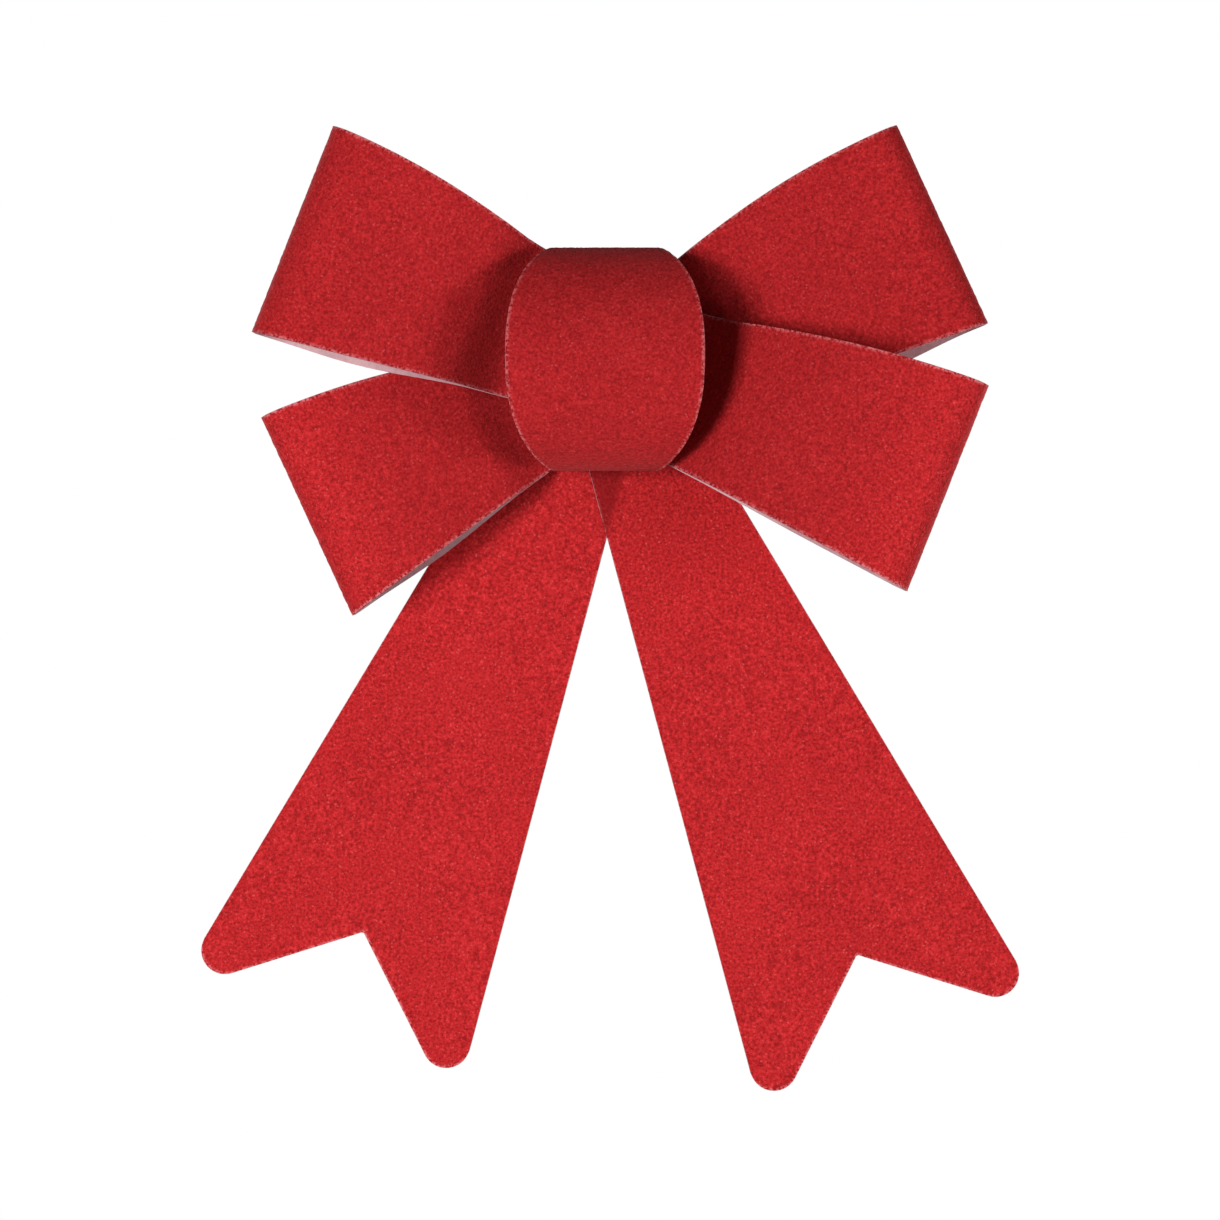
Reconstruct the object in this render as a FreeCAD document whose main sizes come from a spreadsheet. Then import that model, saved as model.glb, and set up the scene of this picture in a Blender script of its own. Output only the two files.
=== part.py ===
"""A ready-made gift bow of flocked plastic sheet, as a parametric document.

Frame: X to the bow's right as seen from the front, Z up, the front towards -Y.
The origin is the centre of the flat back, on the rear face of the tails, behind
the middle of the knot. "Depth" below is a distance forward of that back face.

From the back to the front the pieces lie in this order: left tail, right tail,
knot band, rear loop strip, front loop strip, and the knot band again, which wraps
round both strips. A staple clamps the strips to the band, and hot-melt glue holds
the tails on.
"""
import FreeCAD, Part
import math
import os

import Sketcher

V = FreeCAD.Vector
START, END, CENTRE = 1, 2, 3

# name, millimetres or degrees, what it is
SIZES = [
    ("thickness", 0.5, "thickness of the flocked sheet"),
    ("gap", 0.15, "clearance between layers that lie on each other"),
    ("glue_thickness", 0.3, "hot-melt glue between the two tails"),
    ("staple_room", 0.8, "room for the clinched staple between right tail and band"),
    ("loop_end_width", 38.1, "width of a loop at its folded end"),
    ("shoulder_width", 27.1, "width of a loop strip where it leaves the knot"),
    ("shoulder_reach", 17.5, "knot to the shoulders of a loop strip"),
    ("neck_margin", 11.75, "room in the band above and below the neck of a loop strip"),
    ("neck_reach", 14, "half the length of that neck"),
    ("pinch_half", 8.0, "half the flat length that the band holds"),
    ("front_slope", -21.6, "rise of the front strip towards the right, degrees"),
    ("front_raise", 0.6, "height of the front strip's axis at the knot"),
    ("front_left_reach", 58.0, "front strip: knot to the left end"),
    ("front_right_reach", 63.6, "front strip: knot to the right end"),
    ("front_nose_radius", 6.5, "front strip: outer radius of the folded ends"),
    ("front_nose_depth", 22.5, "front strip: depth of the folds' centres"),
    ("front_bulge_radius", 62.0, "front strip: radius of the front layer"),
    ("front_under_radius", 62.0, "front strip: radius of the rear layer"),
    ("front_lift", 1.6, "filler gap between the strips at the pinch"),
    ("rear_slope", 24.7, "rise of the rear strip towards the right, degrees"),
    ("rear_raise", -3.4, "height of the rear strip's axis at the knot"),
    ("rear_left_reach", 57.5, "rear strip: knot to the left end"),
    ("rear_right_reach", 65.0, "rear strip: knot to the right end"),
    ("rear_nose_radius", 5.6, "rear strip: outer radius of the folded ends"),
    ("rear_nose_depth", 9.2, "rear strip: depth of the folds' centres"),
    ("rear_bulge_radius", 200.0, "rear strip: radius of the front layer"),
    ("rear_under_radius", 300.0, "rear strip: radius of the rear layer"),
    ("tail_lean", 23.0, "angle of each tail from straight down, degrees"),
    ("tail_rise", 8.0, "how far a tail runs up past the knot's centre"),
    ("tail_top_width", 14.4, "width of a tail at its top end"),
    ("tail_end_width", 53.8, "width of a tail across its sharp tips"),
    ("tail_reach", 132.1, "knot to the sharp tips, along the tail"),
    ("tail_notch_reach", 109.2, "knot to the notch, along the tail"),
    ("tail_tip_radius", 4.2, "rounding of the tips"),
    ("right_tail_drop", 4.3, "how much further down the right tail is set"),
    ("knot_height", 38.9, "height of the knot band"),
    ("knot_flattening", 9.9, "how much less deep than tall the knot band is, by its flat back"),
    ("knot_corner_radius", 3.0, "outer radius where the band turns to its back"),
    ("knot_waist_width", 34.0, "width of the knot band in the middle"),
    ("knot_end_width", 18.2, "width of the knot band at its top and bottom"),
    ("lap_length", 14.0, "length of the welded lap at the band's back"),
    ("staple_wire", 0.5, "side of the staple's square wire"),
    ("staple_width", 10.0, "outer width of the staple"),
    ("staple_height", -1.4, "height of the staple, between the axes of the two strips"),
    ("clinch_length", 3.5, "length of each clinched leg end"),
    ("hole_clearance", 0.1, "clearance round the staple's legs"),
    ("glue_radius", 3.0, "radius of a glue dot"),
    ("glue_height", -6.0, "height of the glue dots"),
]


class Size:
    """A number of the sheet together with the expression that gives it."""

    def __init__(self, value, text):
        self.value, self.text = value, text

    @staticmethod
    def of(other):
        return other if isinstance(other, Size) else Size(float(other), repr(other))

    def joined(self, other, sign, value):
        return Size(value, f"({self.text} {sign} {Size.of(other).text})")

    def __add__(self, other):
        return self.joined(other, "+", self.value + Size.of(other).value)

    def __sub__(self, other):
        return self.joined(other, "-", self.value - Size.of(other).value)

    def __mul__(self, other):
        return self.joined(other, "*", self.value * Size.of(other).value)

    def __truediv__(self, other):
        return self.joined(other, "/", self.value / Size.of(other).value)

    def __neg__(self):
        return Size(-self.value, f"(-1 * {self.text})")


class Sizes:
    """Writes the spreadsheet, and gives each of its cells as a Size by name."""

    def __init__(self, doc, table):
        self.sheet = doc.addObject("Spreadsheet::Sheet", "sizes")
        for row, (name, value, meaning) in enumerate(table, start=1):
            self.sheet.set(f"A{row}", name)
            self.sheet.set(f"B{row}", str(value))
            self.sheet.set(f"C{row}", meaning)
            self.sheet.setAlias(f"B{row}", name)
            setattr(self, name, Size(float(value), f"sizes.{name}"))
        doc.recompute()


class Outline:
    """A sketch on one of its body's own planes, with every size bound to the sheet."""

    def __init__(self, body, name, plane):
        self.sketch = body.newObject("Sketcher::SketchObject", name)
        origin = [o for o in body.Origin.OriginFeatures if o.Role == plane][0]
        self.sketch.AttachmentSupport = (origin, "")
        self.sketch.MapMode = "FlatFace"

    def constrain(self, *arguments):
        return self.sketch.addConstraint(Sketcher.Constraint(*arguments))

    def size(self, kind, geometry, size):
        """A radius or a diameter, bound to the sheet."""
        index = self.constrain(kind, geometry, size.value)
        self.sketch.setExpression(f"Constraints[{index}]", size.text)

    def place(self, geometry, point, x=None, y=None):
        """Fixes a point's distances from the sketch's origin, bound to the sheet."""
        for kind, size in (("DistanceX", x), ("DistanceY", y)):
            if size is not None:
                size = Size.of(size)
                index = self.constrain(kind, -1, 1, geometry, point, size.value)
                self.sketch.setExpression(f"Constraints[{index}]", size.text)

    def line(self, first, last):
        return self.sketch.addGeometry(Part.LineSegment(V(*first, 0), V(*last, 0)), False)

    def arc(self, centre, first, last, turn):
        """An arc from first to last. Turn is 1 anticlockwise and -1 clockwise.

        Returns its index, and which of its ends first and last are.
        """
        radius = math.dist(centre, first)
        ends = (first, last) if turn > 0 else (last, first)
        low, high = (math.atan2(p[1] - centre[1], p[0] - centre[0]) for p in ends)
        circle = Part.Circle(V(*centre, 0), V(0, 0, 1), radius)
        arc = Part.ArcOfCircle(circle, low, high if high > low else high + 2 * math.pi)
        index = self.sketch.addGeometry(arc, False)
        return (index, START, END) if turn > 0 else (index, END, START)

    def polygon(self, points):
        """A closed polygon whose corners are pairs of sizes."""
        corners = [(Size.of(x), Size.of(y)) for x, y in points]
        values = [(x.value, y.value) for x, y in corners]
        lines = [self.line(a, b) for a, b in zip(values, values[1:] + values[:1])]
        for index, following in zip(lines, lines[1:] + lines[:1]):
            self.constrain("Coincident", index, END, following, START)
        for index, (x, y) in zip(lines, corners):
            self.place(index, START, x, y)


def crossing(a, reach_a, b, reach_b, side):
    """The point at given distances from a and b, on the side of greater or less y."""
    span = math.dist(a, b)
    along = (span ** 2 + reach_a ** 2 - reach_b ** 2) / (2 * span)
    off = math.sqrt(reach_a ** 2 - along ** 2)
    ux, uy = (b[0] - a[0]) / span, (b[1] - a[1]) / span
    found = [(a[0] + along * ux - s * off * uy, a[1] + along * uy + s * off * ux) for s in (1, -1)]
    return max(found, key=lambda p: side * p[1])


def toward(start, target, distance):
    """The point at a distance from start on the way to target."""
    share = distance / math.dist(start, target)
    return tuple(p + share * (q - p) for p, q in zip(start, target))


def new_body(doc, name):
    body = doc.addObject("PartDesign::Body", name)
    body.Label = name
    return body


def pad(body, outline, name, length, both_ways=True):
    feature = body.newObject("PartDesign::Pad", name)
    feature.Profile = outline.sketch
    feature.Midplane = both_ways
    feature.setExpression("Length", length.text)
    outline.sketch.Document.recompute()
    return feature


def hollow(body, solid, normal, thickness):
    """Leaves a wall inside the solid, open at both ends along the normal."""
    ends = [
        f"Face{i}"
        for i, face in enumerate(solid.Shape.Faces, start=1)
        if abs(face.normalAt(0, 0).dot(normal)) > 0.999 and isinstance(face.Surface, Part.Plane)
    ]
    wall = body.newObject("PartDesign::Thickness", "Wall")
    wall.Base = (solid, ends)
    wall.Reversed = True
    wall.Join = 1
    wall.setExpression("Value", thickness.text)
    body.Document.recompute()
    return wall


def trim(body, outline, name):
    """Cuts the outline right through the body, both ways."""
    before = body.Shape.Volume
    cut = body.newObject("PartDesign::Pocket", name)
    cut.Profile = outline.sketch
    cut.Midplane = True
    cut.Type = 1
    body.Document.recompute()
    if not body.Shape.Volume < before:
        raise RuntimeError(f"{body.Label}: {name} cut nothing")


def turn_and_raise(body, degrees, height):
    """Turns a body in the plane of the bow, anticlockwise from the front, and lifts it."""
    body.Placement = FreeCAD.Placement(V(0, 0, height.value), FreeCAD.Rotation(V(0, -1, 0), degrees.value))
    body.setExpression("Placement.Base.z", height.text)
    body.setExpression("Placement.Rotation.Angle", degrees.text)


def loop_section(body, z, seat, strip):
    """The side view of a strip: a loop each way from a flat pinch.

    Each loop is a front arc, a folded end and a rear arc, tangent to one another.
    Both arcs bow forwards.
    The sketch's y points to the back, so depths are negative.
    """
    outline = Outline(body, "LoopSection", "XY_Plane")
    front, back = -(seat + z.thickness * 3), -seat
    pinch, nose = z.pinch_half, strip["nose_radius"]
    bulge, under = strip["bulge_radius"], strip["under_radius"]

    front_line = outline.line((-pinch.value, front.value), (pinch.value, front.value))
    back_line = outline.line((pinch.value, back.value), (-pinch.value, back.value))
    outline.place(front_line, START, -pinch, front)
    outline.place(front_line, END, pinch, front)
    outline.place(back_line, START, pinch, back)
    outline.place(back_line, END, -pinch, back)

    for way, reach in ((1, strip["right_reach"]), (-1, strip["left_reach"])):
        middle = (way * (reach.value - nose.value), -strip["nose_depth"].value)
        front_end = (way * pinch.value, front.value)
        back_end = (way * pinch.value, back.value)
        front_centre = crossing(front_end, bulge.value, middle, bulge.value - nose.value, 1)
        front_touch = toward(front_centre, middle, bulge.value)
        rear_centre = crossing(back_end, under.value, middle, under.value + nose.value, 1)
        rear_touch = toward(rear_centre, middle, under.value)

        front_arc, front_from, front_to = outline.arc(front_centre, front_end, front_touch, way)
        nose_arc, nose_from, nose_to = outline.arc(middle, front_touch, rear_touch, way)
        rear_arc, rear_from, rear_to = outline.arc(rear_centre, rear_touch, back_end, -way)
        line_ends = (END, START) if way > 0 else (START, END)
        outline.constrain("Coincident", front_arc, front_from, front_line, line_ends[0])
        outline.constrain("Coincident", rear_arc, rear_to, back_line, line_ends[1])
        outline.constrain("Tangent", front_arc, front_to, nose_arc, nose_from)
        outline.constrain("Tangent", nose_arc, nose_to, rear_arc, rear_from)
        outline.size("Radius", front_arc, bulge)
        outline.size("Radius", nose_arc, nose)
        outline.size("Radius", rear_arc, under)
        outline.place(nose_arc, CENTRE, (reach - nose) * way, -strip["nose_depth"])
    return outline


def loop_strip(doc, z, name, seat, strip):
    """One strip folded to a loop on each side: a closed ring, narrower in the middle."""
    body = new_body(doc, name + "_sheet")
    section = loop_section(body, z, seat, strip)
    solid = pad(body, section, "Prism", z.loop_end_width)
    hollow(body, solid, V(0, 0, 1), z.thickness)
    half_end, half_shoulder = z.loop_end_width / 2, z.shoulder_width / 2
    half_neck = z.knot_height / 2 - z.neck_margin
    for side in (1, -1):
        wedge = Outline(body, "UpperTaper" if side > 0 else "LowerTaper", "XZ_Plane")
        wedge.polygon([
            (-strip["left_reach"], half_end * side),
            (-z.shoulder_reach, half_shoulder * side),
            (-z.neck_reach, half_neck * side),
            (z.neck_reach, half_neck * side),
            (z.shoulder_reach, half_shoulder * side),
            (strip["right_reach"], half_end * side),
            (strip["right_reach"], half_end * (side * 1.2)),
            (-strip["left_reach"], half_end * (side * 1.2)),
        ])
        trim(body, wedge, "TrimUpper" if side > 0 else "TrimLower")
    turn_and_raise(body, strip["slope"], strip["raise"])
    return body


def tail(doc, z, name, lean, drop, depth):
    """A flat strip that widens downwards to two rounded tips with a notch between."""
    body = new_body(doc, name)
    outline = Outline(body, "TailOutline", "XZ_Plane")
    half_top, half_end = z.tail_top_width / 2, z.tail_end_width / 2
    outline.polygon([
        (-half_top, z.tail_rise - drop),
        (half_top, z.tail_rise - drop),
        (half_end, -(z.tail_reach + drop)),
        (0, -(z.tail_notch_reach + drop)),
        (-half_end, -(z.tail_reach + drop)),
    ])
    solid = pad(body, outline, "Sheet", z.thickness, both_ways=False)
    lowest = solid.Shape.BoundBox.ZMin
    tips = [
        f"Edge{i}"
        for i, edge in enumerate(solid.Shape.Edges, start=1)
        if edge.BoundBox.ZMax - lowest < 0.001
    ]
    rounding = body.newObject("PartDesign::Fillet", "Tips")
    rounding.Base = (solid, tips)
    rounding.setExpression("Radius", z.tail_tip_radius.text)
    turn_and_raise(body, lean, Size.of(0))
    body.setExpression("Placement.Base.y", (-depth).text)
    return body


def knot_section(body, z, seat):
    """The side view of the band: a round front, a flat back and two rear corners.

    The sketch's x points to the back, so depths are negative, and its y is up.
    """
    outline = Outline(body, "BandSection", "YZ_Plane")
    radius, corner = z.knot_height / 2, z.knot_corner_radius
    front = seat + z.knot_height - z.knot_flattening
    middle = (-(front.value - radius.value), 0.0)
    back = -seat.value
    inset = back - corner.value
    rise = math.sqrt((radius.value - corner.value) ** 2 - (inset - middle[0]) ** 2)
    back_line = outline.line((back, -rise), (back, rise))
    outline.constrain("Vertical", back_line)
    corners = []
    for way in (1, -1):
        corner_middle = (inset, way * rise)
        touch = toward(middle, corner_middle, radius.value)
        arc, arc_from, arc_to = outline.arc(corner_middle, (back, way * rise), touch, way)
        outline.size("Radius", arc, corner)
        outline.constrain("Tangent", arc, arc_from, back_line, END if way > 0 else START)
        corners.append((touch, arc, arc_to))
    (upper, upper_arc, upper_end), (lower, lower_arc, lower_end) = corners
    round_front, front_from, front_to = outline.arc(middle, upper, lower, 1)
    outline.constrain("Tangent", round_front, front_from, upper_arc, upper_end)
    outline.constrain("Tangent", round_front, front_to, lower_arc, lower_end)
    outline.size("Radius", round_front, radius)
    outline.place(round_front, CENTRE, -(front - radius), 0)
    outline.place(back_line, START, x=-seat)
    return outline


def knot_band(doc, z, seat):
    """The band round the middle: a closed ring, barrel-shaped in front and narrow behind.

    From its tallest point backwards the band keeps the width of the barrel's ends.
    """
    body = new_body(doc, "knot_band_sheet")
    solid = pad(body, knot_section(body, z, seat), "Prism", z.knot_waist_width)
    hollow(body, solid, V(1, 0, 0), z.thickness)

    lap = Outline(body, "LapSection", "YZ_Plane")
    half_lap = z.lap_length / 2
    inner, outer = -(seat + z.thickness), -(seat + z.thickness * 2)
    lap.polygon([(inner, -half_lap), (inner, half_lap), (outer, half_lap), (outer, -half_lap)])
    pad(body, lap, "Lap", z.knot_waist_width)

    half_waist, half_end, half_height = z.knot_waist_width / 2, z.knot_end_width / 2, z.knot_height / 2
    sagitta = half_waist.value - half_end.value
    radius = (half_height.value ** 2 + sagitta ** 2) / (2 * sagitta)
    for way in (1, -1):
        side = Outline(body, "RightSide" if way > 0 else "LeftSide", "XZ_Plane")
        middle = (way * (half_waist.value - radius), 0.0)
        low, high = ((way * half_end.value, s * half_height.value) for s in (-1, 1))
        arc, arc_from, arc_to = side.arc(middle, low, high, way)
        beyond = half_waist * (way * 1.2)
        top = side.line(high, (beyond.value, high[1]))
        outside = side.line((beyond.value, high[1]), (beyond.value, low[1]))
        bottom = side.line((beyond.value, low[1]), low)
        for one, one_end, other, other_end in (
            (arc, arc_to, top, START), (top, END, outside, START),
            (outside, END, bottom, START), (bottom, END, arc, arc_from),
        ):
            side.constrain("Coincident", one, one_end, other, other_end)
        side.place(top, START, half_end * way, half_height)
        side.place(bottom, END, half_end * way, -half_height)
        side.place(outside, START, beyond, half_height)
        side.place(outside, END, beyond, -half_height)
        index = side.constrain("Radius", arc, radius)
        chord, bow = half_height.text, (half_waist - half_end).text
        side.sketch.setExpression(f"Constraints[{index}]", f"({chord}^2 + {bow}^2) / (2 * {bow})")
        trim(body, side, "TrimRight" if way > 0 else "TrimLeft")

        rear = Outline(body, "RearRight" if way > 0 else "RearLeft", "XY_Plane")
        tallest = -(seat + half_height - z.knot_flattening)
        rear.polygon([(half_end * way, 0), (beyond, 0), (beyond, tallest), (half_end * way, tallest)])
        trim(body, rear, "TrimRearRight" if way > 0 else "TrimRearLeft")
    return body


def staple(doc, z, clinch_depth, crown_depth):
    """A square-wire staple: a crown in front, two legs and their clinched ends."""
    body = new_body(doc, "centre_staple")
    outline = Outline(body, "WireOutline", "XY_Plane")
    half, wire = z.staple_width / 2, z.staple_wire
    back, front = -clinch_depth, -(crown_depth + wire)
    clinch = half - z.clinch_length
    outline.polygon([
        (-half, front), (half, front), (half, back), (clinch, back), (clinch, back - wire),
        (half - wire, back - wire), (half - wire, front + wire), (wire - half, front + wire),
        (wire - half, back - wire), (-clinch, back - wire), (-clinch, back), (-half, back),
    ])
    pad(body, outline, "Wire", wire)
    body.setExpression("Placement.Base.z", z.staple_height.text)
    return body


def leg_holes(doc, z, back_depth, front_depth):
    """Two square bars, a little wider than the staple's legs, that cut its holes."""
    side = z.staple_wire + z.hole_clearance * 2
    bars = []
    for way in (-1, 1):
        bar = doc.addObject("Part::Box", "LeftLeg" if way < 0 else "RightLeg")
        axis = (z.staple_width - z.staple_wire) / 2 * way
        bar.setExpression("Length", side.text)
        bar.setExpression("Height", side.text)
        bar.setExpression("Width", (front_depth - back_depth).text)
        bar.setExpression("Placement.Base.x", (axis - side / 2).text)
        bar.setExpression("Placement.Base.y", (-front_depth).text)
        bar.setExpression("Placement.Base.z", (z.staple_height - side / 2).text)
        bars.append(bar)
    both = doc.addObject("Part::Compound", "LegHoles")
    both.Links = bars
    return both


def pierced(doc, body, holes, name):
    """The body with the staple's holes through it."""
    cut = doc.addObject("Part::Cut", name)
    cut.Base, cut.Tool = body, holes
    cut.Label = name
    return cut


def glue_dots(doc, z, gaps):
    """One dot of hot-melt glue in each gap, given by its depth and thickness."""
    dots = []
    for number, (depth, thickness) in enumerate(gaps, start=1):
        dot = doc.addObject("Part::Cylinder", f"Dot{number}")
        dot.Placement = FreeCAD.Placement(V(0, 0, 0), FreeCAD.Rotation(V(1, 0, 0), 90))
        dot.setExpression("Radius", z.glue_radius.text)
        dot.setExpression("Height", thickness.text)
        dot.setExpression("Placement.Base.y", (-depth).text)
        dot.setExpression("Placement.Base.z", z.glue_height.text)
        dots.append(dot)
    group = doc.addObject("Part::Compound", "tail_glue")
    group.Label = "tail_glue"
    group.Links = dots
    return group


def strip_sizes(z, which):
    """The named sizes of the front or the rear strip, under shorter names."""
    names = ("slope", "raise", "left_reach", "right_reach", "nose_radius",
             "nose_depth", "bulge_radius", "under_radius")
    return {name: getattr(z, f"{which}_{name}") for name in names}


def build(doc):
    """Makes every piece and returns those that are written out."""
    z = Sizes(doc, SIZES)
    left_tail_depth = Size.of(0)
    right_tail_depth = z.thickness + z.glue_thickness
    right_tail_front = right_tail_depth + z.thickness
    band_depth = right_tail_front + z.staple_room
    rear_seat = band_depth + z.thickness * 2 + z.gap
    front_seat = rear_seat + z.thickness * 3 + z.gap + z.front_lift
    crown_depth = front_seat + z.thickness * 3
    clinch_depth = band_depth - z.gap - z.staple_wire

    holes = leg_holes(doc, z, clinch_depth, crown_depth + z.staple_wire)
    rear = loop_strip(doc, z, "rear_loop_strip", rear_seat, strip_sizes(z, "rear"))
    front = loop_strip(doc, z, "front_loop_strip", front_seat, strip_sizes(z, "front"))
    band = knot_band(doc, z, band_depth)
    pieces = [
        tail(doc, z, "left_tail", -z.tail_lean, Size.of(0), left_tail_depth),
        tail(doc, z, "right_tail", z.tail_lean, z.right_tail_drop, right_tail_depth),
        pierced(doc, rear, holes, "rear_loop_strip"),
        pierced(doc, front, holes, "front_loop_strip"),
        pierced(doc, band, holes, "knot_band"),
        staple(doc, z, clinch_depth, crown_depth),
        glue_dots(doc, z, [(z.thickness, z.glue_thickness), (right_tail_front, z.staple_room)]),
    ]
    doc.recompute()
    return pieces


def check(doc, pieces):
    """Stops if an object failed, or a piece is missing or not a valid solid."""
    for item in doc.Objects:
        if {"Invalid", "Error"} & set(item.State):
            raise RuntimeError(f"{item.Name} failed: {item.State}")
    for piece in pieces:
        if piece.Shape.isNull() or not piece.Shape.isValid() or not piece.Shape.Solids:
            raise RuntimeError(f"{piece.Label} is not a valid solid")


def main():
    doc = FreeCAD.newDocument("gift_bow")
    pieces = build(doc)
    check(doc, pieces)
    os.makedirs("parts", exist_ok=True)
    for piece in pieces:
        piece.Shape.exportStep(f"parts/{piece.Label}.step")
        box = piece.Shape.BoundBox
        print(f"{piece.Label}: {len(piece.Shape.Solids)} solid, {piece.Shape.Volume:.1f} mm3, "
              f"x {box.XMin:.1f} {box.XMax:.1f}, y {box.YMin:.1f} {box.YMax:.1f}, "
              f"z {box.ZMin:.1f} {box.ZMax:.1f}")


main()
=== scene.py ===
"""Looks of a ready-made gift bow, cut from flocked plastic sheet and folded by hand.

Every length is in metres. X is to the right seen from the front, Y to the back and Z up.
"""
import logging
import math
from dataclasses import dataclass
from enum import Enum

import bpy
import numpy as np
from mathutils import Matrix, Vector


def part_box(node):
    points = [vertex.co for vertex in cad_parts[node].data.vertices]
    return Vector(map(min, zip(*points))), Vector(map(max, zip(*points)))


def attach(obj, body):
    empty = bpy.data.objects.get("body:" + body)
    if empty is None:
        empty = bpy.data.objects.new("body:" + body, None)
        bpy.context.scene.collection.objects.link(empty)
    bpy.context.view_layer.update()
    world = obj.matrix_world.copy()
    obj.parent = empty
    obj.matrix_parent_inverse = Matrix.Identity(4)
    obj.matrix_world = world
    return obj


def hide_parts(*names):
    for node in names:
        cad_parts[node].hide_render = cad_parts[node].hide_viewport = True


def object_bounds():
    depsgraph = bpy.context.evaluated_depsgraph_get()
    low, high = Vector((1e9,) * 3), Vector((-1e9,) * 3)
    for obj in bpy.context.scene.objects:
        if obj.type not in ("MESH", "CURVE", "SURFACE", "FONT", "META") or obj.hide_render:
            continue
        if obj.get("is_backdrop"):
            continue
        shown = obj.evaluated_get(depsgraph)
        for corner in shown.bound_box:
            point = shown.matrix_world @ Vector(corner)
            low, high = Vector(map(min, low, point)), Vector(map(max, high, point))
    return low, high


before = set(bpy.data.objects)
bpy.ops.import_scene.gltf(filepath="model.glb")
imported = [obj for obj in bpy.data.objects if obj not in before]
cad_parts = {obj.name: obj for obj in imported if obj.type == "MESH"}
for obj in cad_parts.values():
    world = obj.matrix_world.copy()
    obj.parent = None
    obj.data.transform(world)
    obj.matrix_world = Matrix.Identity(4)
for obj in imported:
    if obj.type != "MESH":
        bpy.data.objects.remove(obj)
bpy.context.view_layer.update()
MM = 0.001
SHEET = 0.5 * MM
SHARP = math.radians(50)
LOG = logging.getLogger("gift_bow")


class Side(Enum):
    """The three surfaces of a cut sheet, in the order of its material slots."""

    FLOCK = 0
    BARE = 1
    CUT = 2


# Numbers and curves

def smooth_step(low: float, high: float, x: np.ndarray) -> np.ndarray:
    """A soft step: t squared times (3 minus 2t), where t runs from 0 at low to 1 at high.

    Args:
        low: Where the step begins.
        high: Where the step ends.
        x: The values to step.

    Returns:
        Values from 0 to 1, shaped like x.
    """
    t = np.clip((x - low) / (high - low), 0.0, 1.0)
    return t * t * (3.0 - 2.0 * t)


def circle_centre(a: np.ndarray, a_reach: float, b: np.ndarray, b_reach: float) -> np.ndarray:
    """The point that lies a_reach from a and b_reach from b, to the left of the way from a to b.

    Two circles about a and b cross at this point: it stands at the foot (d squared plus
    a_reach squared minus b_reach squared) over 2d along the line, and then square to it.

    Args:
        a: First point.
        a_reach: Distance from the first point.
        b: Second point.
        b_reach: Distance from the second point.

    Returns:
        The crossing, as two coordinates.
    """
    gap = b - a
    d = float(np.hypot(*gap))
    foot = (d * d + a_reach ** 2 - b_reach ** 2) / (2 * d)
    rise = math.sqrt(a_reach ** 2 - foot ** 2)
    along = gap / d
    return a + along * foot + np.array([-along[1], along[0]]) * rise


def arc(centre: np.ndarray, start: np.ndarray, end: np.ndarray, anticlockwise: bool) -> np.ndarray:
    """Points on a circle from start to end: the centre plus radius times cosine and sine.

    Args:
        centre: Middle of the circle.
        start: First point, which sets the radius.
        end: Last point.
        anticlockwise: Which way round the points run.

    Returns:
        An array of points, about a tenth of a millimetre apart.
    """
    radius = float(np.hypot(*(start - centre)))
    first = math.atan2(*(start - centre)[::-1])
    sweep = math.atan2(*(end - centre)[::-1]) - first
    turn = sweep % (2 * math.pi) if anticlockwise else -((-sweep) % (2 * math.pi))
    count = max(8, int(abs(turn) * radius / (0.1 * MM)))
    angle = first + turn * np.linspace(0.0, 1.0, count)
    return centre + radius * np.stack([np.cos(angle), np.sin(angle)], axis=1)


def evenly(points: np.ndarray, step: float, closed: bool) -> np.ndarray:
    """The same line with its points a step apart, by length along it.

    Args:
        points: The line's points.
        step: Distance wanted between neighbours.
        closed: True where the last point joins the first.

    Returns:
        The new points. A closed line doesn't repeat its first point.
    """
    line = np.vstack([points, points[:1]]) if closed else points
    length = np.concatenate([[0.0], np.cumsum(np.hypot(*np.diff(line, axis=0).T))])
    count = max(4, round(length[-1] / step))
    wanted = np.linspace(0.0, length[-1], count + 1)[: count if closed else count + 1]
    return np.stack([np.interp(wanted, length, line[:, k]) for k in (0, 1)], axis=1)


def softened(points: np.ndarray, reach: int) -> np.ndarray:
    """A closed line with each point moved to the mean of its neighbours within reach.

    Args:
        points: The line.
        reach: How many neighbours on each side are taken in.

    Returns:
        The softened line.
    """
    padded = np.vstack([points[-reach:], points, points[:reach]])
    kernel = np.ones(2 * reach + 1) / (2 * reach + 1)
    return np.stack([np.convolve(padded[:, k], kernel, "valid") for k in (0, 1)], axis=1)


def outward(points: np.ndarray, closed: bool) -> np.ndarray:
    """Unit normals of an anticlockwise line: its direction turned a quarter clockwise.

    Args:
        points: The line's points.
        closed: True where the last point joins the first.

    Returns:
        One normal for each point.
    """
    if closed:
        along = np.roll(points, -1, axis=0) - np.roll(points, 1, axis=0)
    else:
        along = np.gradient(points, axis=0)
    along /= np.hypot(*along.T)[:, None]
    return np.stack([along[:, 1], -along[:, 0]], axis=1)


def line_length(points: np.ndarray, closed: bool) -> float:
    """Length of a line, with the step from its last point to its first where it is closed."""
    line = np.vstack([points, points[:1]]) if closed else points
    return float(np.hypot(*np.diff(line, axis=0).T).sum())


# Cut sheets

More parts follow.
